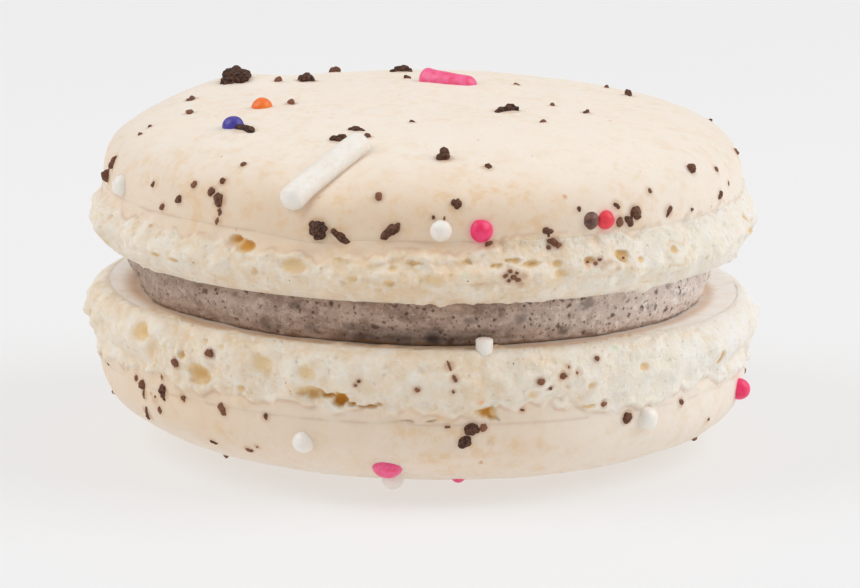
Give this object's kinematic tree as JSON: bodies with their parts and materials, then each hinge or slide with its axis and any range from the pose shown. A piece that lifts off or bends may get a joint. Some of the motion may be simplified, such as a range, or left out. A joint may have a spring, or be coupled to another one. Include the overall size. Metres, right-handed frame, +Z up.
{
  "type": "french macaron",
  "caption": "Round almond meringue sandwich biscuit: smooth domed shells with bubbly ruffled feet around a disc of cookie buttercream, with sugar balls, sugar rods and cookie crumbs baked in.",
  "frame": {"origin": "on the flat spot of the lower dome that the macaron rests on, under the middle of the biscuit", "axes": "+Z up through the stack of lower shell, buttercream and upper shell, -Y towards the front, where most of the sugar balls show, +X to the right as seen from the front"},
  "size_m": [0.0503, 0.0511, 0.027],
  "materials": {
    "shell": "baked cream-coloured almond meringue, matt and smooth on the dome, bubbly on the foot",
    "buttercream": "soft grey-brown buttercream with ground cookie, satin"
  },
  "bodies": {
    "root": {"upper_shell": "shell", "buttercream": "buttercream", "lower_shell": "shell"}
  },
  "joints": []
}
